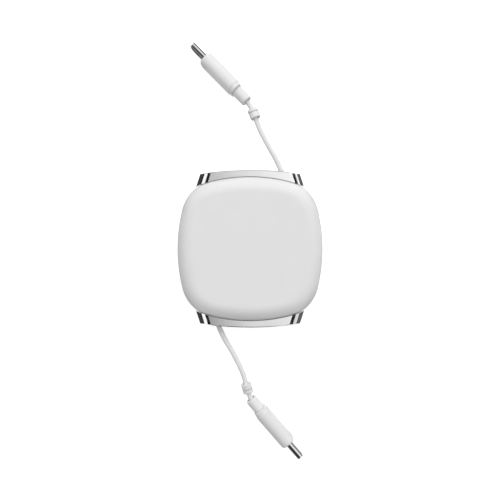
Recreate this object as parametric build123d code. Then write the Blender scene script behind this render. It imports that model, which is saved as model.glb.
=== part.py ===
from build123d import *

import os
from math import acos, atan2, cos, hypot, pi, radians, sin, sqrt, tan

# Retractable charging cable: a pebble-shaped case with a sprung reel, and a plug on each end of its cable.
# Millimetres. The case lies on its rear cover, with the origin at the middle of that cover's flat.
# X runs across the case, Y from the lower outlet to the upper one, and Z from the rear cover to the front.

# Case outline, seen from the front: four bowed sides and four round corners
CASE_WIDTH = 56.4
CASE_LENGTH = 56.5
SIDE_BOW_RADIUS = 65.0
CORNER_RADIUS = 15.5

# Covers
COVER_WALL = 1.6
COVER_EDGE_RADIUS = 6.0
COVER_RIM_LAND = 0.5
COVER_HEADROOM = 1.45
POST_CIRCLE_RADIUS = 18.0
POST_RADIUS = 1.5
POST_PIN_RADIUS = 0.7
POST_PIN_LENGTH = 1.0
POST_PIN_PLAY = 0.05

# Mid frame: the band between the covers, the lip inside them and the two necks
SEAM_BAND = 3.0
BAND_INSET = 0.5
LIP_PLAY = 0.5
FRAME_WALL = 2.1
NECK_REACH = 2.2
NECK_ROOT_DEPTH = 6.8
NECK_END_WIDTH = 38.0
NECK_END_THICKNESS = 9.2
NECK_SIDE_DRAFT = 18.0
NECK_FACE_DRAFT = 5.0
NECK_CORNER_RADIUS = 4.4
NECK_END_FLAT = 0.4
NECK_CROWN_RADIUS = 137.0
NECK_EDGE_RADIUS = 0.35
NECK_GAP = 0.15
SHADOW_GAP = 0.35
SHADOW_GAP_DEPTH = 2.0

# Cable, its outlets and its stopper beads
CABLE_DIAMETER = 2.0
CABLE_WAY_PLAY = 0.5
OUTLET_OFFSET = 12.35
EYELET_RADIUS = 2.0
EYELET_LENGTH = 3.0
EYELET_PLAY = 0.2
EYELET_FIT = 0.03
STOPPER_FROM_BOOT_TOP = 5.85
STOPPER_FROM_BOOT_BOTTOM = 4.0
STOPPER_LENGTH = 4.0
STOPPER_RADIUS = 2.05
STOPPER_EDGE = 0.3
STOPPER_RING_LENGTH = 1.4
STOPPER_RING_RADIUS = 2.1
STOPPER_RING_EDGE = 0.4
STOPPER_GROOVE_WIDTH = 0.3
STOPPER_GROOVE_DEPTH = 0.4

# Chassis plates, their screws and the axle
CHASSIS_WALL = 1.2
CHASSIS_INSET = 3.3
CHASSIS_PLAY = 0.2
SCREW_LAND = 2.2
SCREW_SHANK_RADIUS = 0.75
SCREW_LENGTH = 2.8
SCREW_HEAD_RADIUS = 1.4
SCREW_HEAD_HEIGHT = 0.8
SCREW_SLOT_WIDTH = 0.4
SCREW_SLOT_DEPTH = 0.4
SCREW_FIT = 0.05
AXLE_RADIUS = 2.0
AXLE_HEAD_RADIUS = 3.2
AXLE_HEAD_HEIGHT = 0.6
AXLE_SCREW_LENGTH = 4.0
RUNNING_FIT = 0.05

# Reel
REEL_RIM_PLAY = 0.4
REEL_END_PLAY = 0.3
CHANNEL_PLAY = 0.15
FLANGE_WALL = 0.9
FLANGE_MARGIN = 0.15
DRUM_RADIUS = 11.5
DRUM_WALL = 1.2
SPRING_WELL_REACH = 1.4
SPRING_CAP_WALL = 0.6
SPRING_CAP_SEAT = 0.5
WINDING_PLAY = 0.1

# Power spring
SPRING_TAPE = 0.25
SPRING_COILS = 5
SPRING_PLAY = 0.3
SPRING_TAIL = 0.8
SPRING_SLIT_PLAY = 0.06
SPRING_HOOK = 0.5

# Ratchet track on the reel's front and the ball that runs in it
RATCHET_HEIGHT = 1.4
RATCHET_LANE_RADIUS = 14.0
RATCHET_SEAT_RADIUS = 16.6
RATCHET_SEATS = 10
RATCHET_HOOK_ANGLE = 11.0
RATCHET_RIM = 1.2
BALL_DIAMETER = 2.0
BALL_PLAY = 0.12
LATCH_ROOF = 0.6
LATCH_WALL = 1.0

# Plugs, each standing on its narrow edge with its rear end held up by the cable
PLUG_PITCH = 6.0
SLEEVE_THICKNESS = 5.8
SLEEVE_WIDTH = 11.0
SLEEVE_LENGTH = 17.6
SLEEVE_CORNER_RADIUS = 2.8
SLEEVE_FRONT_EDGE = 0.9
SLEEVE_REAR_EDGE = 0.45
COLLAR_LENGTH = 1.7
COLLAR_INSET = 0.28
BOOT_THICKNESS = 3.8
BOOT_WIDTH = 6.3
BOOT_FLARE = 0.35
BOOT_LENGTH = 5.6
BOOT_CORNER_RADIUS = 1.8
BOOT_EDGE = 0.3
BOOT_TENON = 2.5
SOCKET_DEPTH = 2.8
SOCKET_PLAY = 0.15
SOCKET_FLARE_DEPTH = 1.2
SOCKET_FLARE = 0.35
SHELL_WIDTH = 8.25
SHELL_THICKNESS = 2.4
SHELL_REACH = 7.2
SHELL_TENON = 3.2
SHELL_WALL = 0.3
LINER_FIT = 0.02
LINER_RECESS = 0.4
TONGUE_SLOT_WIDTH = 6.7
TONGUE_SLOT_THICKNESS = 1.1
TONGUE_SLOT_DEPTH = 5.6
CONTACT_COUNT = 12
CONTACT_PITCH = 0.5
CONTACT_WIDTH = 0.26
CONTACT_THICKNESS = 0.14
CONTACT_LENGTH = 4.4
BOARD_WIDTH = 7.0
BOARD_THICKNESS = 0.8
BOARD_LENGTH = 5.0

# The cable's free routes from outlet to boot: offsets from the outlet in plan, and drops below it
OUTLET_RUN = 4.1
ROUTE_TOP = [
    (-5.50, 10.71, 0.10),
    (-9.05, 17.63, 0.18),
    (-10.81, 23.08, 0.22),
    (-12.37, 26.05, 0.22),
]
ROUTE_BOTTOM = [
    (5.89, -10.96, 0.10),
    (9.65, -18.55, 0.18),
    (11.20, -24.61, 0.22),
]
BOOT_BEND_DEPTH = 0.2
ROUTE_ARC_SHARE = 0.45
PLUG_OFFSET_TOP = (-13.72, 27.84)
PLUG_OFFSET_BOTTOM = (12.33, -28.36)
PLUG_HEADING_TOP = 134.0
PLUG_HEADING_BOTTOM = -49.5

# Heights of the stack, from the rear cover's face to the front cover's face
rear_plate_back = COVER_WALL + COVER_HEADROOM
cavity_back = rear_plate_back + CHASSIS_WALL
reel_back = cavity_back + REEL_END_PLAY
flange_back = reel_back + SPRING_WELL_REACH
channel_back = flange_back + FLANGE_WALL
channel_front = channel_back + CABLE_DIAMETER + 2 * CHANNEL_PLAY
flange_front = channel_front + FLANGE_WALL
reel_front = flange_front + RATCHET_HEIGHT
cavity_front = reel_front + REEL_END_PLAY
front_plate_front = cavity_front + CHASSIS_WALL
case_front = front_plate_front + COVER_HEADROOM + COVER_WALL
cable_height = (channel_back + channel_front) / 2
seam_back = cable_height - SEAM_BAND / 2
seam_front = cable_height + SEAM_BAND / 2

# Radii about the reel's axis
lip_inset = COVER_WALL + LIP_PLAY
cavity_radius = min(CASE_WIDTH, CASE_LENGTH) / 2 - lip_inset - FRAME_WALL
reel_radius = cavity_radius - REEL_RIM_PLAY
lead_radius = reel_radius - FLANGE_MARGIN - CABLE_DIAMETER / 2
winding_radius = lead_radius - CABLE_DIAMETER / 2 - WINDING_PLAY
spring_well_radius = DRUM_RADIUS - DRUM_WALL
screw_circle_radius = cavity_radius + SCREW_LAND
track_width = BALL_DIAMETER + 2 * BALL_PLAY
ratchet_radius = RATCHET_SEAT_RADIUS + track_width / 2 + RATCHET_RIM

# The ball sits half in the reel's track and half in the chassis slot
ball_height = (reel_front + cavity_front) / 2
track_floor = ball_height - BALL_DIAMETER / 2 - BALL_PLAY
slot_roof = ball_height + BALL_DIAMETER / 2 + BALL_PLAY
latch_front = max(slot_roof + LATCH_ROOF, front_plate_front)

# Necks and outlets
neck_root = CASE_LENGTH / 2 - NECK_ROOT_DEPTH
neck_end = CASE_LENGTH / 2 + NECK_REACH
outlet_y = neck_end - NECK_CROWN_RADIUS + sqrt(NECK_CROWN_RADIUS**2 - OUTLET_OFFSET**2)
outlet_point = (OUTLET_OFFSET, outlet_y)
lead_turn = atan2(outlet_y, OUTLET_OFFSET) - acos(lead_radius / hypot(*outlet_point))
lead_length = sqrt(hypot(*outlet_point) ** 2 - lead_radius**2)
lead_direction = (-sin(lead_turn), cos(lead_turn))
cable_way = CABLE_DIAMETER / 2 + CABLE_WAY_PLAY

# Places along a plug from its boot's open end, and that end's height with the sleeve's edge on the table
sleeve_start = BOOT_LENGTH
sleeve_end = sleeve_start + SLEEVE_LENGTH
shell_start = sleeve_end - SHELL_TENON
shell_end = sleeve_end + SHELL_REACH
liner_width = SHELL_WIDTH - 2 * SHELL_WALL - 2 * LINER_FIT
liner_thickness = SHELL_THICKNESS - 2 * SHELL_WALL - 2 * LINER_FIT
liner_end = shell_end - LINER_RECESS
slot_bottom = liner_end - TONGUE_SLOT_DEPTH
board_start = shell_start - BOARD_LENGTH
pitch = radians(PLUG_PITCH)
sleeve_drop = (sleeve_end - SLEEVE_FRONT_EDGE) * sin(pitch)
boot_height = sleeve_drop + (SLEEVE_WIDTH / 2 - SLEEVE_FRONT_EDGE) * cos(pitch) + SLEEVE_FRONT_EDGE

HALF_TURN = Rot(0, 0, 180)


def slab(face, bottom, top):
    """A flat face in the XY plane, raised from height bottom to height top."""
    return Pos(0, 0, bottom) * extrude(face, amount=top - bottom)


def disc(radius, bottom, top, x=0.0, y=0.0):
    """An upright cylinder between two heights."""
    return Pos(x, y, bottom) * Cylinder(radius, top - bottom, align=(Align.CENTER, Align.CENTER, Align.MIN))


def ring(outer, inner, bottom, top):
    """An upright tube about the reel's axis, between two heights."""
    return disc(outer, bottom, top) - disc(inner, bottom, top)


def corner_centre():
    """Centre of the upper right corner's arc, which is tangent to the top arc and the right-hand arc."""
    reach = SIDE_BOW_RADIUS - CORNER_RADIUS
    right_arc = Vector(CASE_WIDTH / 2 - SIDE_BOW_RADIUS, 0)
    top_arc = Vector(0, CASE_LENGTH / 2 - SIDE_BOW_RADIUS)
    half = (top_arc - right_arc) / 2
    rise = sqrt(reach**2 - half.length**2)
    outward = Vector(-half.Y, half.X).normalized()
    if outward.X < 0:
        outward = -outward
    return right_arc + half + outward * rise


def case_outline(inset):
    """The case's outline in plan, drawn in by an even inset, as eight tangent arcs."""
    corner = corner_centre()
    bow = SIDE_BOW_RADIUS - inset
    right_arc = Vector(CASE_WIDTH / 2 - SIDE_BOW_RADIUS, 0)
    top_arc = Vector(0, CASE_LENGTH / 2 - SIDE_BOW_RADIUS)
    side_join = right_arc + (corner - right_arc).normalized() * bow
    top_join = top_arc + (corner - top_arc).normalized() * bow
    corner_tip = corner + corner.normalized() * (CORNER_RADIUS - inset)
    right = CASE_WIDTH / 2 - inset
    top = CASE_LENGTH / 2 - inset

    def at(point, sx, sy):
        return (sx * point.X, sy * point.Y)

    arcs = []
    for side in (1, -1):
        arcs.append(ThreePointArc(at(side_join, side, -1), (side * right, 0), at(side_join, side, 1)))
        arcs.append(ThreePointArc(at(top_join, 1, side), (0, side * top), at(top_join, -1, side)))
        for end in (1, -1):
            turn = [at(point, side, end) for point in (side_join, corner_tip, top_join)]
            arcs.append(ThreePointArc(*turn))
    return make_face(arcs)


def corner_points(radius):
    """The four points at this distance from the reel's axis, on the way to the outline's corners."""
    way = corner_centre().normalized() * radius
    return [(sx * way.X, sy * way.Y) for sx in (1, -1) for sy in (1, -1)]


def neck_block(grow, start, end):
    """The upper neck's tapering block between two places along Y, grown or shrunk all round."""
    sections = []
    for y in (start, end):
        width = NECK_END_WIDTH + 2 * (neck_end - y) * tan(radians(NECK_SIDE_DRAFT)) + 2 * grow
        thickness = NECK_END_THICKNESS + 2 * (neck_end - y) * tan(radians(NECK_FACE_DRAFT)) + 2 * grow
        radius = min(NECK_CORNER_RADIUS + grow, (thickness - NECK_END_FLAT) / 2)
        plane = Plane(origin=(0, y, cable_height), x_dir=(1, 0, 0), z_dir=(0, 1, 0))
        sections.append(plane * RectangleRounded(width, thickness, radius))
    return loft(sections, ruled=True)


def neck_form():
    """The upper neck's outer form: a tapering block with a crowned end and a softened end edge."""
    block = neck_block(0, neck_root, neck_end + NECK_REACH)
    crown = disc(NECK_CROWN_RADIUS, 0, case_front, 0, neck_end - NECK_CROWN_RADIUS)
    block = block & crown
    end_face = block.faces().sort_by(Axis.Y)[-1]
    return fillet(end_face.edges(), NECK_EDGE_RADIUS)


def pebble(grow):
    """The closed case's outer form without its necks, grown all round."""
    form = slab(case_outline(-grow), -grow, case_front + grow)
    for end in (0, -1):
        form = fillet(form.edges().group_by(Axis.Z)[end], COVER_EDGE_RADIUS + grow)
    return form


def make_neck():
    """The upper neck: a collar that stands off the covers by the shadow gap, on a smaller core inside."""
    core = neck_block(-SHADOW_GAP_DEPTH, neck_root, CASE_LENGTH / 2 + 2 * SHADOW_GAP)
    return neck_form() - pebble(SHADOW_GAP) + core


def outlet_rod(radius, start, end):
    """A round bar along the upper outlet's line, between two distances from the outlet point."""
    x, y = outlet_point
    dx, dy = lead_direction
    plane = Plane(origin=(x + dx * start, y + dy * start, cable_height), z_dir=(dx, dy, 0))
    return plane * Cylinder(radius, end - start, align=(Align.CENTER, Align.CENTER, Align.MIN))


def swing_space():
    """Flat fan inside the upper neck, for the cable's way out to swing in as the winding empties."""
    empty_radius = DRUM_RADIUS + CABLE_DIAMETER / 2
    empty_turn = atan2(outlet_y, OUTLET_OFFSET) - acos(empty_radius / hypot(*outlet_point))
    across = Vector(cos(lead_turn), sin(lead_turn))
    end = Vector(*outlet_point) - Vector(*lead_direction) * EYELET_LENGTH / 2
    full = across * (lead_radius + cable_way)
    empty = Vector(cos(empty_turn), sin(empty_turn)) * (empty_radius - cable_way)
    corners = [end + across * cable_way, full, empty, end - across * cable_way]
    fan = make_face(Polyline(*corners, close=True))
    return slab(fan, cable_height - cable_way, cable_height + cable_way)


def both_ends(shape):
    """The upper shape and its copy at the lower end, turned half a turn about the reel's axis."""
    return [shape, HALF_TURN * shape]


def make_frame():
    """Plated ring between the covers, with a neck at each end that the cable leaves by."""
    frame = slab(case_outline(BAND_INSET), seam_back, seam_front)
    frame += slab(case_outline(lip_inset), cavity_back, cavity_front)
    for neck in both_ends(make_neck()):
        frame += neck
    frame -= disc(cavity_radius, 0, case_front)
    for way in both_ends(swing_space()):
        frame -= way
    for seat in both_ends(outlet_rod(EYELET_RADIUS + EYELET_FIT, -EYELET_LENGTH, NECK_REACH)):
        frame -= seat
    frame -= slab(case_outline(CHASSIS_INSET - CHASSIS_PLAY), cavity_front, case_front)
    frame -= slab(case_outline(CHASSIS_INSET - CHASSIS_PLAY), 0, cavity_back)
    for x, y in corner_points(screw_circle_radius):
        bore = SCREW_SHANK_RADIUS + SCREW_FIT
        frame -= disc(bore, front_plate_front - SCREW_LENGTH - SCREW_FIT, cavity_front, x, y)
        frame -= disc(bore, cavity_back, rear_plate_back + SCREW_LENGTH + SCREW_FIT, x, y)
    return frame


def make_eyelet():
    """Bush in the upper neck's end wall, flush with the crown, that the cable slides through."""
    bush = outlet_rod(EYELET_RADIUS, -EYELET_LENGTH, NECK_REACH) & neck_form()
    return bush - outlet_rod(CABLE_DIAMETER / 2 + EYELET_PLAY, -EYELET_LENGTH, NECK_REACH)


def make_cover(height, plate_depth):
    """A cover with its rim at height 0 and its face up: rolled edge, even wall, four posts on the plate."""
    edge = min(COVER_EDGE_RADIUS, height - COVER_RIM_LAND)
    outside = slab(case_outline(0), 0, height)
    outside = fillet(outside.edges().group_by(Axis.Z)[-1], edge)
    inside = slab(case_outline(COVER_WALL), 0, height - COVER_WALL)
    inside = fillet(inside.edges().group_by(Axis.Z)[-1], edge - COVER_WALL)
    cover = outside - inside
    for x, y in corner_points(POST_CIRCLE_RADIUS):
        cover += disc(POST_RADIUS, plate_depth, height - COVER_WALL / 2, x, y)
        cover += disc(POST_PIN_RADIUS, plate_depth - POST_PIN_LENGTH, plate_depth, x, y)
    return cover


def make_front_cover():
    """The cover over the front plate, notched for the necks."""
    cover = Pos(0, 0, seam_front) * make_cover(case_front - seam_front, front_plate_front - seam_front)
    for notch in both_ends(neck_block(NECK_GAP - SHADOW_GAP_DEPTH, neck_root - NECK_GAP, neck_end)):
        cover -= notch
    return cover


def make_rear_cover():
    """The cover that the case lies on, notched for the necks."""
    cover = Pos(0, 0, seam_back) * Rot(180, 0, 0) * make_cover(seam_back, seam_back - rear_plate_back)
    for notch in both_ends(neck_block(NECK_GAP - SHADOW_GAP_DEPTH, neck_root - NECK_GAP, neck_end)):
        cover -= notch
    return cover


def make_plate(bottom, top):
    """A chassis plate with holes for its corner screws and for the cover's locating pins."""
    plate = slab(case_outline(CHASSIS_INSET), bottom, top)
    for x, y in corner_points(screw_circle_radius):
        plate -= disc(SCREW_SHANK_RADIUS + SCREW_FIT, bottom, top, x, y)
    for x, y in corner_points(POST_CIRCLE_RADIUS):
        plate -= disc(POST_PIN_RADIUS + POST_PIN_PLAY, bottom, top, x, y)
    return plate


def latch_slot(width):
    """The ball's radial travel between the ratchet's lane and its seats, as a slot of this width."""
    middle = (RATCHET_LANE_RADIUS + RATCHET_SEAT_RADIUS) / 2
    travel = RATCHET_SEAT_RADIUS - RATCHET_LANE_RADIUS
    return Pos(middle, 0) * SlotOverall(travel + width, width)


def make_rear_chassis():
    """The plate behind the reel, with the axle's rivet hole."""
    return make_plate(rear_plate_back, cavity_back) - disc(AXLE_RADIUS, rear_plate_back, cavity_back)


def make_front_chassis():
    """The plate in front of the reel, with the ball's radial slot under a raised housing."""
    plate = make_plate(cavity_front, front_plate_front)
    plate += slab(latch_slot(track_width + 2 * LATCH_WALL), cavity_front, latch_front)
    plate -= slab(latch_slot(track_width), cavity_front, slot_roof)
    return plate - disc(SCREW_SHANK_RADIUS + SCREW_FIT, cavity_front, front_plate_front)


def make_screw(length):
    """A slotted pan-head screw that points down, with the underside of its head at height 0."""
    screw = disc(SCREW_HEAD_RADIUS, 0, SCREW_HEAD_HEIGHT) + disc(SCREW_SHANK_RADIUS, -length, 0)
    slot = Box(2 * SCREW_HEAD_RADIUS, SCREW_SLOT_WIDTH, 2 * SCREW_SLOT_DEPTH)
    return screw - Pos(0, 0, SCREW_HEAD_HEIGHT) * slot


def make_front_screws():
    """Four screws through the front plate into the frame."""
    screw = Pos(0, 0, front_plate_front) * make_screw(SCREW_LENGTH)
    return [Pos(x, y, 0) * screw for x, y in corner_points(screw_circle_radius)]


def make_rear_screws():
    """Four screws through the rear plate into the frame."""
    screw = Pos(0, 0, rear_plate_back) * Rot(180, 0, 0) * make_screw(SCREW_LENGTH)
    return [Pos(x, y, 0) * screw for x, y in corner_points(screw_circle_radius)]


def make_axle():
    """Rivet-headed pin the reel turns on, slit for the spring's tail and tapped for the axle screw."""
    axle = disc(AXLE_RADIUS, rear_plate_back, cavity_front)
    axle += disc(AXLE_HEAD_RADIUS, rear_plate_back - AXLE_HEAD_HEIGHT, rear_plate_back)
    screw_depth = AXLE_SCREW_LENGTH - CHASSIS_WALL + SCREW_FIT
    axle -= disc(SCREW_SHANK_RADIUS + SCREW_FIT, cavity_front - screw_depth, cavity_front)
    slit_height = spring_top() - spring_bottom() + 2 * SPRING_SLIT_PLAY
    slit = Box(2 * (SPRING_TAIL + SPRING_SLIT_PLAY), SPRING_TAPE + 2 * SPRING_SLIT_PLAY, slit_height)
    return axle - Pos(AXLE_RADIUS, 0, (spring_top() + spring_bottom()) / 2) * slit


def track_arc(radius, start, sweep_angle):
    """A stretch of the ratchet track along a circle, as wide as the ball's track and round at both ends."""
    path = CenterArc((0, 0), radius, start, sweep_angle)
    round_ends = [Pos(path @ end) * Circle(track_width / 2) for end in (0, 1)]
    return trace(path, line_width=track_width) + round_ends


def make_reel():
    """Drum and flanges in one moulding, with the spring well behind and the ratchet track in front."""
    reel = disc(DRUM_RADIUS, reel_back, reel_front)
    reel += disc(reel_radius, flange_back, channel_back)
    reel += disc(reel_radius, channel_front, flange_front)
    reel += disc(ratchet_radius, flange_front, reel_front)
    reel -= disc(spring_well_radius, reel_back, flange_front)
    reel -= disc(spring_well_radius + SPRING_CAP_SEAT, reel_back, reel_back + SPRING_CAP_WALL)
    reel -= disc(AXLE_RADIUS + RUNNING_FIT, flange_front, reel_front)
    lane_edges = (RATCHET_LANE_RADIUS + track_width / 2, RATCHET_LANE_RADIUS - track_width / 2)
    reel -= ring(*lane_edges, track_floor, reel_front)
    seat = latch_slot(track_width) + track_arc(RATCHET_SEAT_RADIUS, 0, RATCHET_HOOK_ANGLE)
    seat = slab(seat, track_floor, reel_front)
    for number in range(RATCHET_SEATS):
        reel -= Rot(0, 0, number * 360 / RATCHET_SEATS) * seat
    hook_notch = Box(2 * (SPRING_HOOK + SPRING_PLAY), SPRING_TAPE + SPRING_PLAY, spring_top() - reel_back)
    return reel - Pos(spring_well_radius, 0, (spring_top() + reel_back) / 2) * hook_notch


def make_spring_cap():
    """Washer that closes the spring well and is the reel's rear bearing."""
    rim = spring_well_radius + SPRING_CAP_SEAT - RUNNING_FIT
    return ring(rim, AXLE_RADIUS + RUNNING_FIT, reel_back, reel_back + SPRING_CAP_WALL)


def spring_bottom():
    """Height of the spring tape's lower edge, clear of the spring cap."""
    return reel_back + SPRING_CAP_WALL + SPRING_PLAY


def spring_top():
    """Height of the spring tape's upper edge, clear of the well's end."""
    return flange_front - SPRING_PLAY


def make_spring():
    """Spiral ribbon of half circles on two centres, with its tail in the axle and its hook in the drum."""
    half_turns = 2 * SPRING_COILS
    inner = AXLE_RADIUS + SPRING_PLAY + SPRING_TAPE / 2
    outer = spring_well_radius - SPRING_PLAY - SPRING_TAPE / 2
    step = (outer - inner) / half_turns
    edges = []
    for side in (-SPRING_TAPE / 2, SPRING_TAPE / 2):
        for number in range(half_turns):
            upper = number % 2 == 0
            centre = -step / 2 if upper else step / 2
            radius = inner + step / 2 + number * step + side
            edges.append(CenterArc((centre, 0), radius, 0 if upper else 180, 180))
    for x in (inner, outer):
        edges.append(Line((x - SPRING_TAPE / 2, 0), (x + SPRING_TAPE / 2, 0)))
    ribbon = make_face(edges)
    tail_length = SPRING_TAIL + SPRING_PLAY + SPRING_TAPE
    ribbon += Pos(AXLE_RADIUS - SPRING_TAIL + tail_length / 2, 0) * Rectangle(tail_length, SPRING_TAPE)
    hook_length = spring_well_radius + SPRING_HOOK - outer + SPRING_TAPE / 2
    ribbon += Pos(outer - SPRING_TAPE / 2 + hook_length / 2, 0) * Rectangle(hook_length, SPRING_TAPE)
    return slab(ribbon, spring_bottom(), spring_top())


def make_winding():
    """The cable wound on the drum, both halves together, as one solid of its outer shape."""
    bottom = cable_height - CABLE_DIAMETER / 2
    return ring(winding_radius, DRUM_RADIUS + RUNNING_FIT, bottom, bottom + CABLE_DIAMETER)


def make_ball():
    """Steel latch ball, at rest in the ratchet's running lane."""
    return Pos(RATCHET_LANE_RADIUS, 0, ball_height) * Sphere(BALL_DIAMETER / 2)


def make_lead():
    """The cable's straight stretch from the winding's edge to the upper outlet."""
    return outlet_rod(CABLE_DIAMETER / 2, -lead_length, 0)


def cable_path(outlet, side, route, plane):
    """Centre line of a free cable end: straight runs and the widest tangent arcs that they allow."""
    start = Vector(*lead_direction) * side * OUTLET_RUN
    points = [outlet, outlet + start] + [outlet + Vector(x, y, -drop) for x, y, drop in route]
    points += [plane.from_local_coords(Vector(depth, 0, 0)) for depth in (BOOT_BEND_DEPTH, SOCKET_DEPTH)]
    runs = [b - a for a, b in zip(points, points[1:])]
    radii = []
    for before, after in zip(runs, runs[1:]):
        half_angle = radians(before.get_angle(after)) / 2
        radii.append(ROUTE_ARC_SHARE * min(before.length, after.length) / tan(half_angle))
    path = FilletPolyline(*points, radius=radii)
    print("cable length", round(path.length, 2), "radii", [round(radius, 1) for radius in radii])
    print("plug tip", plane.from_local_coords(Vector(shell_end, 0, 0)), "along", plane.x_dir)
    return path


def make_cable(path):
    """Round cable along a free end's centre line."""
    section = Plane(origin=path @ 0, z_dir=path % 0) * Circle(CABLE_DIAMETER / 2)
    cable = sweep(section, path=path)
    straight = path.length * pi * CABLE_DIAMETER**2 / 4
    print("cable volume over section times length", round(cable.volume / straight, 4))
    return cable


def make_stopper(path, from_boot):
    """Crimped bead on the cable: round body towards the case, groove, ring towards the plug."""
    body_end = STOPPER_LENGTH - STOPPER_RING_LENGTH - STOPPER_GROOVE_WIDTH
    ring_start = STOPPER_LENGTH - STOPPER_RING_LENGTH
    bore = CABLE_DIAMETER / 2
    body = Pos(body_end / 2, (bore + STOPPER_RADIUS) / 2) * Rectangle(body_end, STOPPER_RADIUS - bore)
    body = fillet(body.vertices().group_by(Axis.Y)[-1], STOPPER_EDGE)
    end_ring = Pos(ring_start + STOPPER_RING_LENGTH / 2, (bore + STOPPER_RING_RADIUS) / 2)
    end_ring *= Rectangle(STOPPER_RING_LENGTH, STOPPER_RING_RADIUS - bore)
    end_ring = fillet(end_ring.vertices().group_by(Axis.Y)[-1], STOPPER_RING_EDGE)
    neck_radius = STOPPER_RING_RADIUS - STOPPER_GROOVE_DEPTH
    neck = Pos(STOPPER_LENGTH / 2, (bore + neck_radius) / 2)
    neck *= Rectangle(STOPPER_LENGTH / 2, neck_radius - bore)
    bead = Pos(-STOPPER_LENGTH / 2, 0, 0) * revolve(body + end_ring + neck, Axis.X)
    place = 1 - (from_boot + SOCKET_DEPTH) / path.length
    along = path % place
    return Plane(origin=path @ place, x_dir=along, z_dir=along.cross(Vector(0, 0, 1))) * bead


def plug_plane(outlet, offset, heading):
    """Frame of a plug: origin at the boot's open end, X along the plug, Z across the plug's width."""
    x, y = offset
    turn = radians(heading)
    along = (cos(turn) * cos(pitch), sin(turn) * cos(pitch), -sin(pitch))
    across = (cos(turn) * sin(pitch), sin(turn) * sin(pitch), cos(pitch))
    origin = (outlet.X + x, outlet.Y + y, boot_height)
    return Plane(origin=origin, x_dir=along, z_dir=across)


def prism(sketch, start, end):
    """A section in the plug's YZ plane, drawn out along X between two places."""
    return extrude(Plane.YZ.offset(start) * sketch, amount=end - start)


def slot_section(width, thickness):
    """The rounded-end section of a USB-C shell, with its width across the plug."""
    return SlotOverall(width, thickness, rotation=90)


def boot_section(grow):
    """The boot's section at its mouth, grown all round."""
    return RectangleRounded(BOOT_THICKNESS + 2 * grow, BOOT_WIDTH + 2 * grow, BOOT_CORNER_RADIUS + grow)


def sleeve_section(inset):
    """The sleeve's section, drawn in by an even inset."""
    thickness = SLEEVE_THICKNESS - 2 * inset
    return RectangleRounded(thickness, SLEEVE_WIDTH - 2 * inset, SLEEVE_CORNER_RADIUS - inset)


def make_boot():
    """Strain relief between the cable and the sleeve, with the flared socket that the cable goes into."""
    ends = [Plane.YZ.offset(x) * boot_section(grow) for x, grow in ((0, 0), (sleeve_start, BOOT_FLARE))]
    boot = loft(ends, ruled=True)
    boot = fillet(boot.edges().group_by(Axis.X)[0], BOOT_EDGE)
    boot += prism(boot_section(0), sleeve_start, sleeve_start + BOOT_TENON)
    bore = CABLE_DIAMETER / 2 + SOCKET_PLAY
    at_mouth = (Align.CENTER, Align.CENTER, Align.MIN)
    boot -= Plane.YZ * Cone(bore + SOCKET_FLARE, bore, SOCKET_FLARE_DEPTH, align=at_mouth)
    return boot - prism(Circle(bore), 0, SOCKET_DEPTH)


def make_sleeve():
    """Moulded grip on a stepped-in collar, with pockets for the boot, the circuit board and the shell."""
    grip = prism(sleeve_section(0), sleeve_start + COLLAR_LENGTH, sleeve_end)
    grip = fillet(grip.edges().group_by(Axis.X)[-1], SLEEVE_FRONT_EDGE)
    collar = prism(sleeve_section(COLLAR_INSET), sleeve_start, sleeve_start + COLLAR_LENGTH)
    sleeve = grip + fillet(collar.edges().group_by(Axis.X)[0], SLEEVE_REAR_EDGE)
    sleeve -= prism(boot_section(0), sleeve_start, sleeve_start + BOOT_TENON)
    sleeve -= prism(slot_section(SHELL_WIDTH, SHELL_THICKNESS), shell_start, sleeve_end)
    return sleeve - prism(Rectangle(BOARD_THICKNESS, BOARD_WIDTH), board_start, shell_start)


def make_shell():
    """Drawn metal shell of the plug, open at the tip."""
    outside = slot_section(SHELL_WIDTH, SHELL_THICKNESS)
    inside = slot_section(SHELL_WIDTH - 2 * SHELL_WALL, SHELL_THICKNESS - 2 * SHELL_WALL)
    return prism(outside - inside, shell_start, shell_end)


def make_liner():
    """Insulator inside the shell, with the slot that takes the socket's tongue."""
    liner = prism(slot_section(liner_width, liner_thickness), shell_start, liner_end)
    return liner - prism(Rectangle(TONGUE_SLOT_THICKNESS, TONGUE_SLOT_WIDTH), slot_bottom, liner_end)


def make_contacts():
    """Two facing rows of contact strips on the walls of the tongue slot."""
    strip = prism(Rectangle(CONTACT_THICKNESS, CONTACT_WIDTH), slot_bottom, slot_bottom + CONTACT_LENGTH)
    wall = (TONGUE_SLOT_THICKNESS - CONTACT_THICKNESS) / 2
    first = -(CONTACT_COUNT - 1) * CONTACT_PITCH / 2
    places = [(side * wall, first + n * CONTACT_PITCH) for side in (-1, 1) for n in range(CONTACT_COUNT)]
    return [Pos(0, y, z) * strip for y, z in places]


def make_board():
    """Circuit board behind the liner, inside the sleeve."""
    return prism(Rectangle(BOARD_THICKNESS, BOARD_WIDTH), board_start, shell_start)


def make_plug(plane):
    """The plug's pieces by name, where that plug lies."""
    pieces = {
        "plug_boot": [make_boot()],
        "plug_sleeve": [make_sleeve()],
        "plug_shell": [make_shell()],
        "plug_liner": [make_liner()],
        "plug_contacts": make_contacts(),
        "plug_board": [make_board()],
    }
    return {name: [plane * solid for solid in solids] for name, solids in pieces.items()}


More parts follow.
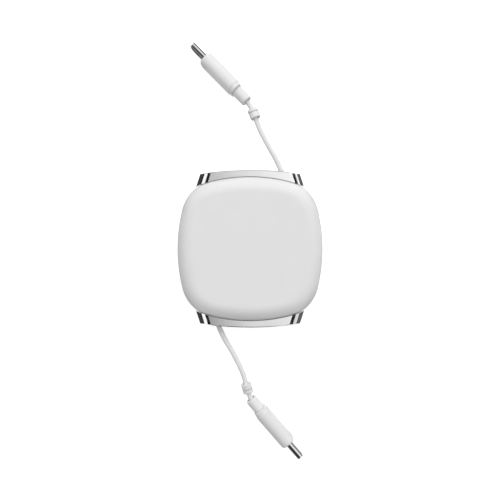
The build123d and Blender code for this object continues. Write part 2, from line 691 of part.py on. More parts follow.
def make_all():
    """Every node of the assembly, by name."""
    eyelet_top, eyelet_bottom = both_ends(make_eyelet())
    lead_top, lead_bottom = both_ends(make_lead())
    axle_screw = Pos(0, 0, front_plate_front) * make_screw(AXLE_SCREW_LENGTH)
    nodes = {
        "front_cover": [make_front_cover()],
        "rear_cover": [make_rear_cover()],
        "mid_frame": [make_frame()],
        "outlet_eyelet_top": [eyelet_top],
        "outlet_eyelet_bottom": [eyelet_bottom],
        "front_chassis": [make_front_chassis()],
        "rear_chassis": [make_rear_chassis()],
        "front_screws": make_front_screws(),
        "rear_screws": make_rear_screws(),
        "reel_axle": [make_axle()],
        "axle_screw": [axle_screw],
        "reel": [make_reel()],
        "spring_cap": [make_spring_cap()],
        "power_spring": [make_spring()],
        "cable_winding": [make_winding()],
        "latch_ball": [make_ball()],
        "cable_lead_top": [lead_top],
        "cable_lead_bottom": [lead_bottom],
    }
    ends = {
        "top": (1, ROUTE_TOP, PLUG_OFFSET_TOP, PLUG_HEADING_TOP, STOPPER_FROM_BOOT_TOP),
        "bottom": (-1, ROUTE_BOTTOM, PLUG_OFFSET_BOTTOM, PLUG_HEADING_BOTTOM, STOPPER_FROM_BOOT_BOTTOM),
    }
    for end, (side, route, offset, heading, from_boot) in ends.items():
        outlet = Vector(side * OUTLET_OFFSET, side * outlet_y, cable_height)
        plane = plug_plane(outlet, offset, heading)
        path = cable_path(outlet, side, route, plane)
        nodes[f"cable_{end}"] = [make_cable(path)]
        nodes[f"stopper_{end}"] = [make_stopper(path, from_boot)]
        for name, solids in make_plug(plane).items():
            nodes[f"{name}_{end}"] = solids
    return nodes


os.makedirs("parts", exist_ok=True)
for node, solids in make_all().items():
    shape = solids[0] if len(solids) == 1 else Compound(children=solids)
    export_step(shape, f"parts/{node}.step")
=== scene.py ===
"""Retractable charging cable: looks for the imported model, seen from straight above."""

import math

import bmesh
import bpy
from mathutils import Matrix, Vector


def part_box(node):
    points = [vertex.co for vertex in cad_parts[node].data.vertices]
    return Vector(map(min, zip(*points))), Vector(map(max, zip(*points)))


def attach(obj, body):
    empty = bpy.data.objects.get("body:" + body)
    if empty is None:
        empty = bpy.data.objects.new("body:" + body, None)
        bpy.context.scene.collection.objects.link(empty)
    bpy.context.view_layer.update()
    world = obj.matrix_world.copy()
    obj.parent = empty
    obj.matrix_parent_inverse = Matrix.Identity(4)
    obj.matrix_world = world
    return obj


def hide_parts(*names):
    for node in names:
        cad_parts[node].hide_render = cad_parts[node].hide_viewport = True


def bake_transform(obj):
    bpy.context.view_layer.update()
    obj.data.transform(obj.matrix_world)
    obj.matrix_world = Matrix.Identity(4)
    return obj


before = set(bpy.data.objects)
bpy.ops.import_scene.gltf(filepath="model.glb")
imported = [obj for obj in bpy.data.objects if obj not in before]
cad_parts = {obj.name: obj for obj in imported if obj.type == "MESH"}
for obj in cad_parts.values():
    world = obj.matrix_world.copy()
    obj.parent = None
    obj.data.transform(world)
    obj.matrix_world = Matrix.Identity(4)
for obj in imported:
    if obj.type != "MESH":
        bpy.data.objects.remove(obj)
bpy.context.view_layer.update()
scene = bpy.context.scene
MM = 0.001
UP = Vector((0.0, 0.0, 1.0))

# Camera over the case, looking straight down.
CAMERA_PLACE = (-0.03 * MM, -0.49 * MM, 450.0 * MM)
CAMERA_LENS = 81.57
CAMERA_SENSOR = 36.0
CAMERA_CLIP = 10.0 * MM

# Free ends of the cable: the route's points from the part's source.
CABLE_DIAMETER = 2.0 * MM
ROUTE_TOP = [
    (0.01235, 0.02989, 0.00800),
    (0.01085, 0.03371, 0.00800),
    (0.00685, 0.04060, 0.00790),
    (0.00330, 0.04752, 0.00782),
    (0.00154, 0.05297, 0.00778),
    (-0.00002, 0.05594, 0.00778),
    (-0.00151, 0.05788, 0.00778),
    (-0.00330, 0.05974, 0.00751),
]
ROUTE_BOTTOM = [
    (-0.01235, -0.02989, 0.00800),
    (-0.01085, -0.03371, 0.00800),
    (-0.00646, -0.04085, 0.00790),
    (-0.00270, -0.04844, 0.00782),
    (-0.00115, -0.05450, 0.00778),
    (0.00011, -0.05840, 0.00778),
    (0.00179, -0.06037, 0.00751),
]
CABLE_LENGTH_TOP = 33.93 * MM
CABLE_LENGTH_BOTTOM = 33.84 * MM
STOPPER_FROM_END_TOP = 8.65 * MM
STOPPER_FROM_END_BOTTOM = 6.55 * MM

# Plugs: the mouth of the boot, the heading and the nose-down pitch of each.
PLUG_PITCH = 6.0
MOUTH_TOP = (-0.00137, 0.0577322, 0.0078058)
MOUTH_BOTTOM = (-0.00002, -0.0582522, 0.0078058)
HEADING_TOP = 134.0
HEADING_BOTTOM = -49.5

# Stopper bead.
STOPPER_LENGTH = 4.0 * MM
STOPPER_RADIUS = 2.05 * MM
STOPPER_EDGE = 0.3 * MM
RING_LENGTH = 1.4 * MM
RING_RADIUS = 2.1 * MM
RING_EDGE = 0.4 * MM
GROOVE_WIDTH = 0.4 * MM
GROOVE_RADIUS = 1.45 * MM
STOPPER_TILT = math.radians(14.0)
STOPPER_FUNNEL_DEPTH = 1.1 * MM
STOPPER_FUNNEL_RADIUS = 1.6 * MM

# Strain relief boot of the plug, from its mouth to the tenon in the sleeve.
BOOT_START_TOP = -0.3 * MM
BOOT_START_BOTTOM = 0.35 * MM
BOOT_END = 5.6 * MM
BOOT_WIDTH = 6.3 * MM
BOOT_FLARE = 1.2 * MM
BOOT_THICKNESS = 4.4 * MM
BOOT_EDGE = 0.4 * MM
BOOT_BORE = 1.1 * MM
FUNNEL_DEPTH = 1.5 * MM
FUNNEL_EDGE = 0.25 * MM
TENON_END = 8.0 * MM
TENON_INSET = 0.35 * MM

# Power spring, a tape on its edge from the axle to its hook in the reel.
SPRING_TAPE = 0.25 * MM
SPRING_EDGE = 0.04 * MM
SPRING_COILS = 5
SPRING_INNER = 2.425 * MM
SPRING_OUTER = 9.875 * MM
SPRING_BEND = 0.3 * MM
SPRING_HOOK = 10.8 * MM
SPRING_TAIL_START = 1.2 * MM
SPRING_TAIL_END = 2.1 * MM

# Metal shell of the plug.
SHELL_START = 20.0 * MM
SHELL_END = 30.4 * MM
SHELL_WIDTH = 8.25 * MM
SHELL_THICKNESS = 2.4 * MM
SHELL_WALL = 0.3 * MM
LIP_LENGTH = 0.65 * MM
LIP_EDGE = 0.08 * MM
LIP_SWEEP = 80.0

# Contact strips in the plug's slot.
CONTACT_COUNT = 12
CONTACT_PITCH = 0.5 * MM
CONTACT_WIDTH = 0.26 * MM
CONTACT_THICKNESS = 0.12 * MM
CONTACT_START = 24.45 * MM
CONTACT_LENGTH = 4.3 * MM
CONTACT_WALL = 0.47 * MM

# Bends of a strip: the first two are shares of its length, the others of its distance from the middle.
CONTACT_KNEE = 0.70
CONTACT_TOUCH = 0.88
CONTACT_LIFT = 0.52
CONTACT_BACK = 0.86

# How finely round shapes are divided.
ROUTE_STEPS = 20
CABLE_SIDES = 32
BEAD_SIDES = 56
OUTLINE_STEPS = 16
LIP_STEPS = 8
SPRING_STEPS = 60
CONTACT_STEPS = 10

# Finishes: the range of noise in use, and the sizes of the patches in tone and gloss.
NOISE_LOW = 0.3
NOISE_HIGH = 0.7
FINE_DETAIL = 3.0
PLASTIC_IOR = 1.47
PLASTIC_TONE_GRAIN = 9.0 * MM
PLASTIC_GLOSS_GRAIN = 1.2 * MM
PLASTIC_RELIEF = 0.5
METAL_TONE_GRAIN = 4.0 * MM
METAL_GLOSS_GRAIN = 1.5 * MM
METAL_RELIEF = 0.3
DRAWN_LINE_LENGTH = 6.0 * MM
DRAWN_LINE_WIDTH = 0.12 * MM
DRAWN_DEPTH = 0.004 * MM
DRAWN_RELIEF = 0.25
BOARD_TONE_GRAIN = 0.5 * MM
BOARD_GLOSS_GRAIN = 0.8 * MM

# Studio: heights of the cards overhead and on the table, and the room round each plug's shell.
SKY = 0.30
PAPER = 0.3 * MM
PAPER_EDGE = 0.2 * MM
PAPER_START = 21.0 * MM
PAPER_END = 75.0 * MM
WHITE_EDGE_TOP = 1.6 * MM
WHITE_EDGE_BOTTOM = 2.0 * MM
TUNNEL = 40.0 * MM
TUNNEL_HEIGHT = 5.0 * MM
TUNNEL_START = 12.0 * MM
TUNNEL_LENGTH = 45.0 * MM
FLOOR_REACH = 4.0
FLOOR_LEVEL = -0.02 * MM
FLOOR_GREY = 0.80
FLOOR_GLOW = 0.70
AMBIENT = 0.42


def new_finish(name):
    """A material with its shader, ready for nodes."""
    finish = bpy.data.materials.new(name)
    finish.use_nodes = True
    tree = finish.node_tree
    shader = tree.nodes["Principled BSDF"]
    return finish, tree, shader


def grain_of(tree, size, detail=2.0):
    """Noise on the piece's own coordinates, with grains of that size in metres."""
    place = tree.nodes.new("ShaderNodeTexCoord")
    noise = tree.nodes.new("ShaderNodeTexNoise")
    noise.inputs["Scale"].default_value = 1.0 / size
    noise.inputs["Detail"].default_value = detail
    tree.links.new(place.outputs["Object"], noise.inputs["Vector"])
    return noise.outputs["Fac"]


def drawn_lines(tree, along, across):
    """Streaks along a piece's UV map: long in U, fine in V."""
    place = tree.nodes.new("ShaderNodeTexCoord")
    turn = tree.nodes.new("ShaderNodeMapping")
    turn.inputs["Scale"].default_value = (1.0 / along, 1.0 / across, 1.0)
    noise = tree.nodes.new("ShaderNodeTexNoise")
    noise.inputs["Scale"].default_value = 1.0
    noise.inputs["Detail"].default_value = FINE_DETAIL
    tree.links.new(place.outputs["UV"], turn.inputs["Vector"])
    tree.links.new(turn.outputs["Vector"], noise.inputs["Vector"])
    return noise.outputs["Fac"]


def tones(tree, shader, source, low, high):
    """Base colour between two tones."""
    ramp = tree.nodes.new("ShaderNodeValToRGB")
    ramp.color_ramp.elements[0].position = NOISE_LOW
    ramp.color_ramp.elements[0].color = (*low, 1.0)
    ramp.color_ramp.elements[1].position = NOISE_HIGH
    ramp.color_ramp.elements[1].color = (*high, 1.0)
    tree.links.new(source, ramp.inputs["Fac"])
    tree.links.new(ramp.outputs["Color"], shader.inputs["Base Color"])


def gloss(tree, shader, source, smooth, rough):
    """Roughness between two levels."""
    level = tree.nodes.new("ShaderNodeMapRange")
    level.inputs["From Min"].default_value = NOISE_LOW
    level.inputs["From Max"].default_value = NOISE_HIGH
    level.inputs["To Min"].default_value = smooth
    level.inputs["To Max"].default_value = rough
    tree.links.new(source, level.inputs["Value"])
    tree.links.new(level.outputs["Result"], shader.inputs["Roughness"])


def relief(tree, shader, source, depth, strength):
    """Fine relief of that depth in metres."""
    bump = tree.nodes.new("ShaderNodeBump")
    bump.inputs["Strength"].default_value = strength
    bump.inputs["Distance"].default_value = depth
    tree.links.new(source, bump.inputs["Height"])
    tree.links.new(bump.outputs["Normal"], shader.inputs["Normal"])


def moulded(name, low, high, smooth, rough, grain, depth):
    """Moulded plastic with a spark-eroded grain."""
    finish, tree, shader = new_finish(name)
    shader.inputs["IOR"].default_value = PLASTIC_IOR
    tones(tree, shader, grain_of(tree, PLASTIC_TONE_GRAIN), (low, low, low), (high, high, high))
    gloss(tree, shader, grain_of(tree, PLASTIC_GLOSS_GRAIN), smooth, rough)
    relief(tree, shader, grain_of(tree, grain, FINE_DETAIL), depth, PLASTIC_RELIEF)
    return finish


def metal(name, low, high, smooth, rough, grain, depth):
    """Bare or plated metal with a faint orange peel."""
    finish, tree, shader = new_finish(name)
    shader.inputs["Metallic"].default_value = 1.0
    tones(tree, shader, grain_of(tree, METAL_TONE_GRAIN), low, high)
    gloss(tree, shader, grain_of(tree, METAL_GLOSS_GRAIN), smooth, rough)
    relief(tree, shader, grain_of(tree, grain), depth, METAL_RELIEF)
    return finish


def drawn_metal(name, low, high, smooth, rough):
    """Sheet metal with the lines of its drawing along the piece."""
    finish, tree, shader = new_finish(name)
    shader.inputs["Metallic"].default_value = 1.0
    lines = drawn_lines(tree, DRAWN_LINE_LENGTH, DRAWN_LINE_WIDTH)
    tones(tree, shader, lines, low, high)
    gloss(tree, shader, lines, smooth, rough)
    relief(tree, shader, lines, DRAWN_DEPTH, DRAWN_RELIEF)
    return finish


# Each finish: darkest and lightest tone, smoothest and roughest gloss, and the grain's size and depth.
cover_white = moulded("cover_white", 0.785, 0.800, 0.40, 0.50, 0.22 * MM, 0.010 * MM)
plug_white = moulded("plug_white", 0.790, 0.810, 0.42, 0.52, 0.18 * MM, 0.010 * MM)
stopper_white = moulded("stopper_white", 0.785, 0.805, 0.35, 0.45, 0.18 * MM, 0.008 * MM)
cable_white = moulded("cable_white", 0.785, 0.810, 0.45, 0.55, 0.12 * MM, 0.010 * MM)
reel_white = moulded("reel_white", 0.700, 0.730, 0.40, 0.50, 0.25 * MM, 0.012 * MM)
chassis_grey = moulded("chassis_grey", 0.280, 0.320, 0.42, 0.52, 0.25 * MM, 0.012 * MM)
eyelet_grey = moulded("eyelet_grey", 0.300, 0.340, 0.30, 0.40, 0.20 * MM, 0.008 * MM)
liner_black = moulded("liner_black", 0.018, 0.030, 0.40, 0.55, 0.15 * MM, 0.010 * MM)
chrome_low = (0.92, 0.92, 0.92)
chrome_high = (0.95, 0.95, 0.95)
frame_chrome = metal("frame_chrome", chrome_low, chrome_high, 0.05, 0.08, 3.0 * MM, 0.004 * MM)
steel_low = (0.55, 0.55, 0.56)
steel_high = (0.63, 0.63, 0.64)
screw_steel = metal("screw_steel", steel_low, steel_high, 0.22, 0.34, 0.3 * MM, 0.010 * MM)
axle_steel = metal("axle_steel", steel_low, steel_high, 0.18, 0.28, 0.3 * MM, 0.008 * MM)
spring_low = (0.40, 0.41, 0.44)
spring_high = (0.50, 0.51, 0.53)
spring_steel = metal("spring_steel", spring_low, spring_high, 0.25, 0.35, 0.3 * MM, 0.008 * MM)
nickel_low = (0.78, 0.775, 0.77)
nickel_high = (0.86, 0.855, 0.85)
shell_nickel = drawn_metal("shell_nickel", nickel_low, nickel_high, 0.08, 0.14)
gold_low = (0.80, 0.56, 0.24)
gold_high = (0.90, 0.66, 0.32)
contact_gold = metal("contact_gold", gold_low, gold_high, 0.18, 0.26, 0.2 * MM, 0.004 * MM)
board_low = (0.010, 0.080, 0.030)
board_high = (0.020, 0.120, 0.050)
board_green, board_tree, board_shader = new_finish("board_green")
tones(board_tree, board_shader, grain_of(board_tree, BOARD_TONE_GRAIN), board_low, board_high)
gloss(board_tree, board_shader, grain_of(board_tree, BOARD_GLOSS_GRAIN), 0.25, 0.40)

FINISH_OF = {
    "front_cover": cover_white,
    "rear_cover": cover_white,
    "mid_frame": frame_chrome,
    "outlet_eyelet_top": eyelet_grey,
    "outlet_eyelet_bottom": eyelet_grey,
    "front_chassis": chassis_grey,
    "rear_chassis": chassis_grey,
    "front_screws": screw_steel,
    "rear_screws": screw_steel,
    "reel_axle": axle_steel,
    "axle_screw": screw_steel,
    "reel": reel_white,
    "spring_cap": reel_white,
    "latch_ball": axle_steel,
    "cable_winding": cable_white,
    "cable_lead_top": cable_white,
    "cable_lead_bottom": cable_white,
    "plug_sleeve_top": plug_white,
    "plug_sleeve_bottom": plug_white,
    "plug_liner_top": liner_black,
    "plug_liner_bottom": liner_black,
    "plug_board_top": board_green,
    "plug_board_bottom": board_green,
}
for node, finish in FINISH_OF.items():
    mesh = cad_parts[node].data
    mesh.materials.clear()
    mesh.materials.append(finish)


def add_piece(name, mesh, finish):
    """A finished piece at the origin, with its place in its mesh."""
    mesh.materials.clear()
    mesh.materials.append(finish)
    piece = bpy.data.objects.new(name, mesh)
    scene.collection.objects.link(piece)
    return piece


def skin(name, rings, closed):
    """Mesh through rings of (point, u, v), with a UV map; closed joins the last ring to the first."""
    work = bmesh.new()
    map_layer = work.loops.layers.uv.new("UVMap")
    rows = [[work.verts.new(spot[0]) for spot in ring] for ring in rings]
    count = len(rings[0])
    spans = len(rings) if closed else len(rings) - 1
    for row in range(spans):
        after = (row + 1) % len(rings)
        for side in range(count):
            beside = (side + 1) % count
            corners = [(row, side), (row, beside), (after, beside), (after, side)]
            face = work.faces.new([rows[r][s] for r, s in corners])
            face.smooth = True
            for loop, (r, s) in zip(face.loops, corners):
                loop[map_layer].uv = rings[r][s][1:]
    if not closed:
        work.faces.new(list(reversed(rows[0])))
        work.faces.new(rows[-1])
    bmesh.ops.recalc_face_normals(work, faces=work.faces)
    mesh = bpy.data.meshes.new(name)
    work.to_mesh(mesh)
    work.free()
    return mesh


def route_line(name, route):
    """Points along the cable's smooth line, read from a NURBS spline on the route."""
    curve = bpy.data.curves.new(name, "CURVE")
    curve.dimensions = "3D"
    curve.resolution_u = ROUTE_STEPS
    spline = curve.splines.new("NURBS")
    spline.points.add(len(route) - 1)
    for point, place in zip(spline.points, route):
        point.co = (*place, 1.0)
    spline.order_u = 3
    spline.use_endpoint_u = True
    holder = bpy.data.objects.new(name, curve)
    line = bpy.data.meshes.new_from_object(holder)
    points = [vertex.co.copy() for vertex in line.vertices]
    bpy.data.objects.remove(holder)
    bpy.data.curves.remove(curve)
    bpy.data.meshes.remove(line)
    return points


def direction_at(points, index):
    """Unit direction of the line at one of its points."""
    before = points[max(index - 1, 0)]
    after = points[min(index + 1, len(points) - 1)]
    return (after - before).normalized()


def round_ring(centre, beside, above, radius, travelled, map_radius, sides):
    """A ring of (point, u, v) round a centre, in the plane of two directions."""
    ring = []
    for side in range(sides):
        turn = 2.0 * math.pi * side / sides
        out = math.cos(turn) * beside + math.sin(turn) * above
        ring.append((centre + out * radius, travelled, turn * map_radius))
    return ring


def cable_jacket(name, points):
    """Round jacket along the line."""
    rings = []
    travelled = 0.0
    radius = CABLE_DIAMETER / 2.0
    for index, point in enumerate(points):
        if index > 0:
            travelled += (point - points[index - 1]).length
        along = direction_at(points, index)
        beside = along.cross(UP).normalized()
        above = beside.cross(along)
        rings.append(round_ring(point, beside, above, radius, travelled, radius, CABLE_SIDES))
    return skin(name, rings, False)


def quarter_round(centre, radius, start, end, steps):
    """Points on an edge's rounding, as (along, radius) pairs between two angles in degrees."""
    points = []
    for step in range(steps + 1):
        turn = math.radians(start + (end - start) * step / steps)
        points.append((centre[0] + radius * math.cos(turn), centre[1] + radius * math.sin(turn)))
    return points


def stopper_profile():
    """The bead's outline from its case end to its plug end, as (along, radius) pairs."""
    bore = CABLE_DIAMETER / 2.0
    groove_end = STOPPER_LENGTH - RING_LENGTH
    groove_start = groove_end - GROOVE_WIDTH
    body_edge = STOPPER_EDGE / 2.0
    ring_edge = RING_EDGE / 2.0
    case_end = (STOPPER_EDGE, STOPPER_RADIUS - STOPPER_EDGE)
    before_groove = (groove_start - body_edge, STOPPER_RADIUS - body_edge)
    after_groove = (groove_end + ring_edge, RING_RADIUS - ring_edge)
    plug_end = (STOPPER_LENGTH - RING_EDGE, RING_RADIUS - RING_EDGE)
    profile = [(STOPPER_FUNNEL_DEPTH, bore), (0.0, STOPPER_FUNNEL_RADIUS)]
    profile += quarter_round(case_end, STOPPER_EDGE, 180.0, 90.0, steps=8)
    profile += quarter_round(before_groove, body_edge, 90.0, 0.0, steps=6)
    profile += [(groove_start, GROOVE_RADIUS), (groove_end, GROOVE_RADIUS)]
    profile += quarter_round(after_groove, ring_edge, 180.0, 90.0, steps=5)
    profile += quarter_round(plug_end, RING_EDGE, 90.0, 0.0, steps=6)
    profile += [(STOPPER_LENGTH, bore)]
    return profile


def stopper_bead(name, points, from_end):
    """Crimped bead that leans on the cable, that far before the line's end."""
    index = len(points) - 1
    left = from_end
    while left > 0.0:
        left -= (points[index] - points[index - 1]).length
        index -= 1
    line = direction_at(points, index)
    beside = line.cross(UP).normalized()
    along = math.cos(STOPPER_TILT) * line - math.sin(STOPPER_TILT) * beside.cross(line)
    above = beside.cross(along)
    start = points[index] - along * STOPPER_LENGTH / 2.0
    rings = []
    travelled = 0.0
    profile = stopper_profile()
    for place, (reach, radius) in enumerate(profile):
        if place > 0:
            travelled += math.dist(profile[place], profile[place - 1])
        centre = start + along * reach
        rings.append(round_ring(centre, beside, above, radius, travelled, STOPPER_RADIUS, BEAD_SIDES))
    return skin(name, rings, False)


def plug_place(mouth, heading):
    """Matrix of a plug: origin at the boot's mouth, X along the plug, Z across its width."""
    pitch = math.radians(PLUG_PITCH)
    turn = math.radians(heading)
    return Matrix.Translation(mouth) @ Matrix.Rotation(turn, 4, "Z") @ Matrix.Rotation(pitch, 4, "Y")


def slot_outline(width, thickness):
    """Rounded-end outline in a plug's own frame, as (y, z) pairs."""
    radius = thickness / 2.0
    straight = width / 2.0 - radius
    outline = quarter_round((0.0, straight), radius, 0.0, 180.0, OUTLINE_STEPS)
    outline += quarter_round((0.0, -straight), radius, 180.0, 360.0, OUTLINE_STEPS)
    return outline


def plug_rings(place, thickness, sections):
    """Rings round a plug's rounded-end outline, one for each (along, inset, width)."""
    rings = []
    travelled = 0.0
    for index, (reach, inset, width) in enumerate(sections):
        if index > 0:
            travelled += math.dist(sections[index][:2], sections[index - 1][:2])
        outline = slot_outline(width - 2.0 * inset, thickness - 2.0 * inset)
        around = 0.0
        ring = []
        for corner, (y, z) in enumerate(outline):
            if corner > 0:
                around += math.dist(outline[corner], outline[corner - 1])
            ring.append((place @ Vector((reach, y, z)), travelled, around))
        rings.append(ring)
    return rings


def plug_shell(name, place):
    """Drawn shell of the plug with a rolled lip at its mouth."""
    lip_start = SHELL_END - LIP_LENGTH
    outside = (SHELL_START, SHELL_START + SHELL_WALL, lip_start - SHELL_WALL)
    inside = (lip_start, SHELL_START + SHELL_WALL, SHELL_START)
    profile = [(reach, 0.0) for reach in outside]
    for step in range(LIP_STEPS + 1):
        turn = math.radians(LIP_SWEEP * step / LIP_STEPS)
        bow = (SHELL_WALL - LIP_EDGE) * (1.0 - math.cos(turn))
        profile.append((lip_start + LIP_LENGTH * math.sin(turn), bow))
    profile += quarter_round((SHELL_END - LIP_EDGE, SHELL_WALL - LIP_EDGE), LIP_EDGE, 0.0, 90.0, steps=4)
    profile += [(reach, SHELL_WALL) for reach in inside]
    sections = [(reach, inset, SHELL_WIDTH) for reach, inset in profile]
    return skin(name, plug_rings(place, SHELL_THICKNESS, sections), True)


def plug_boot(name, place, start):
    """Strain relief boot with a funnel round the cable at its mouth and a tenon for the sleeve."""
    sections = [(TENON_END, TENON_INSET, BOOT_WIDTH), (BOOT_END, TENON_INSET, BOOT_WIDTH)]
    profile = [(BOOT_END, 0.0), (BOOT_END - BOOT_EDGE, 0.0), (start + 2.0 * BOOT_EDGE, 0.0)]
    profile += quarter_round((start + BOOT_EDGE, BOOT_EDGE), BOOT_EDGE, 270.0, 180.0, steps=6)
    profile += quarter_round((start + FUNNEL_EDGE, BOOT_EDGE), FUNNEL_EDGE, 180.0, 120.0, steps=3)
    for reach, inset in profile:
        flare = BOOT_FLARE * (reach - start) / (BOOT_END - start)
        sections.append((reach, inset, BOOT_WIDTH + flare))
    rings = plug_rings(place, BOOT_THICKNESS, sections)
    for reach in (start + FUNNEL_DEPTH, start + 2.0 * FUNNEL_DEPTH):
        ring = []
        for y, z in slot_outline(BOOT_WIDTH, BOOT_THICKNESS):
            bore = Vector((y, z)).normalized() * BOOT_BORE
            ring.append((place @ Vector((reach, *bore)), reach, math.atan2(*bore) * BOOT_BORE))
        rings.append(ring)
    return skin(name, rings, False)


def spring_path():
    """Points and directions along the spring, from its inner end by the axle to its hook."""
    path = []
    steps = SPRING_STEPS * SPRING_COILS
    sweep = 2.0 * math.pi * SPRING_COILS - SPRING_BEND / SPRING_OUTER
    for step in range(steps + 1):
        turn = sweep * step / steps
        radius = SPRING_INNER + (SPRING_OUTER - SPRING_INNER) * step / steps
        outward = Vector((math.cos(turn), math.sin(turn)))
        path.append((radius * outward, Vector((-outward.y, outward.x))))
    bend = Vector((SPRING_OUTER + SPRING_BEND, -SPRING_BEND))
    for angle in (150.0, 120.0, 90.0):
        turn = math.radians(angle)
        outward = Vector((math.cos(turn), math.sin(turn)))
        path.append((bend + SPRING_BEND * outward, Vector((outward.y, -outward.x))))
    path.append((Vector((SPRING_HOOK, 0.0)), Vector((1.0, 0.0))))
    return path


def spring_tape(name, path, low, high):
    """Tape on its edge between two heights, along points with their directions."""
    face = SPRING_TAPE / 2.0
    rim = face - SPRING_EDGE
    foot = low + SPRING_EDGE
    brow = high - SPRING_EDGE
    outline = [(face, foot), (face, brow), (rim, high), (-rim, high)]
    outline += [(-face, brow), (-face, foot), (-rim, low), (rim, low)]
    rings = []
    travelled = 0.0
    for index, (place, heading) in enumerate(path):
        if index > 0:
            travelled += (place - path[index - 1][0]).length
        ring = []
        for side, height in outline:
            spot = place + side * Vector((heading.y, -heading.x))
            ring.append(((spot.x, spot.y, height), travelled, height))
        rings.append(ring)
    return skin(name, rings, False)


def contact_tree():
    """Geometry nodes for two facing rows of sprung contact strips."""
    tree = bpy.data.node_groups.new("contact_rows", "GeometryNodeTree")
    sizes = {
        "Strip pitch": CONTACT_PITCH,
        "Strip width": CONTACT_WIDTH,
        "Strip thickness": CONTACT_THICKNESS,
        "Strip length": CONTACT_LENGTH,
        "Row start": CONTACT_START,
        "Row distance": CONTACT_WALL,
    }
    tree.interface.new_socket("Geometry", in_out="INPUT", socket_type="NodeSocketGeometry")
    tree.interface.new_socket("Strip count", in_out="INPUT", socket_type="NodeSocketInt")
    for label in sizes:
        tree.interface.new_socket(label, in_out="INPUT", socket_type="NodeSocketFloat")
    tree.interface.new_socket("Finish", in_out="INPUT", socket_type="NodeSocketMaterial")
    tree.interface.new_socket("Geometry", in_out="OUTPUT", socket_type="NodeSocketGeometry")
    nodes = tree.nodes
    links = tree.links
    given = nodes.new("NodeGroupInput")
    result = nodes.new("NodeGroupOutput")

    def math_of(operation, first, second):
        step = nodes.new("ShaderNodeMath")
        step.operation = operation
        for socket, value in zip(step.inputs, (first, second)):
            if isinstance(value, float):
                socket.default_value = value
            else:
                links.new(value, socket)
        return step.outputs["Value"]

    def vector_of(x, y, z):
        joined = nodes.new("ShaderNodeCombineXYZ")
        for socket, value in zip(joined.inputs, (x, y, z)):
            if isinstance(value, float):
                socket.default_value = value
            else:
                links.new(value, socket)
        return joined.outputs["Vector"]

    root = given.outputs["Row start"]
    wall = given.outputs["Row distance"]
    length = given.outputs["Strip length"]
    pitch = given.outputs["Strip pitch"]
    knee = math_of("ADD", root, math_of("MULTIPLY", length, CONTACT_KNEE))
    touch = math_of("ADD", root, math_of("MULTIPLY", length, CONTACT_TOUCH))
    tip = math_of("ADD", root, length)
    lifted = math_of("MULTIPLY", wall, CONTACT_LIFT)
    bent_back = math_of("MULTIPLY", wall, CONTACT_BACK)
    arm = nodes.new("GeometryNodeCurvePrimitiveBezierSegment")
    links.new(vector_of(root, wall, 0.0), arm.inputs["Start"])
    links.new(vector_of(knee, wall, 0.0), arm.inputs["Start Handle"])
    links.new(vector_of(touch, lifted, 0.0), arm.inputs["End Handle"])
    links.new(vector_of(tip, bent_back, 0.0), arm.inputs["End"])
    arm.inputs["Resolution"].default_value = CONTACT_STEPS
    section = nodes.new("GeometryNodeCurvePrimitiveQuadrilateral")
    links.new(given.outputs["Strip width"], section.inputs["Width"])
    links.new(given.outputs["Strip thickness"], section.inputs["Height"])
    strip = nodes.new("GeometryNodeCurveToMesh")
    strip.inputs["Fill Caps"].default_value = True
    links.new(arm.outputs["Curve"], strip.inputs["Curve"])
    links.new(section.outputs["Curve"], strip.inputs["Profile Curve"])
    row = nodes.new("GeometryNodeMeshLine")
    count_less_one = math_of("SUBTRACT", given.outputs["Strip count"], 1.0)
    half_row = math_of("MULTIPLY", math_of("MULTIPLY", count_less_one, pitch), -0.5)
    links.new(given.outputs["Strip count"], row.inputs["Count"])
    links.new(vector_of(0.0, 0.0, half_row), row.inputs["Start Location"])
    links.new(vector_of(0.0, 0.0, pitch), row.inputs["Offset"])
    strips = nodes.new("GeometryNodeInstanceOnPoints")
    links.new(row.outputs["Mesh"], strips.inputs["Points"])
    links.new(strip.outputs["Mesh"], strips.inputs["Instance"])
    facing = nodes.new("GeometryNodeTransform")
    facing.inputs["Rotation"].default_value = (math.pi, 0.0, 0.0)
    links.new(strips.outputs["Instances"], facing.inputs["Geometry"])
    both = nodes.new("GeometryNodeJoinGeometry")
    links.new(strips.outputs["Instances"], both.inputs["Geometry"])
    links.new(facing.outputs["Geometry"], both.inputs["Geometry"])
    real = nodes.new("GeometryNodeRealizeInstances")
    links.new(both.outputs["Geometry"], real.inputs["Geometry"])
    finish = nodes.new("GeometryNodeSetMaterial")
    links.new(real.outputs["Geometry"], finish.inputs["Geometry"])
    links.new(given.outputs["Finish"], finish.inputs["Material"])
    links.new(finish.outputs["Geometry"], result.inputs["Geometry"])
    sizes["Strip count"] = CONTACT_COUNT
    sizes["Finish"] = contact_gold
    return tree, sizes


def contact_rows(name, tree, sizes, place):
    """The plug's contact strips as a plain mesh, where that plug lies."""
    holder = bpy.data.objects.new(name + "_nodes", bpy.data.meshes.new(name + "_nodes"))
    scene.collection.objects.link(holder)
    maker = holder.modifiers.new("contact_rows", "NODES")
    maker.node_group = tree
    for socket in tree.interface.items_tree:
        if socket.in_out == "INPUT" and socket.name in sizes:
            maker[socket.identifier] = sizes[socket.name]
    bpy.context.view_layer.update()
    evaluated = holder.evaluated_get(bpy.context.evaluated_depsgraph_get())
    mesh = bpy.data.meshes.new_from_object(evaluated)
    mesh.name = name
    holder.modifiers.remove(maker)
    bpy.data.objects.remove(holder)
    mesh.transform(place)
    return mesh


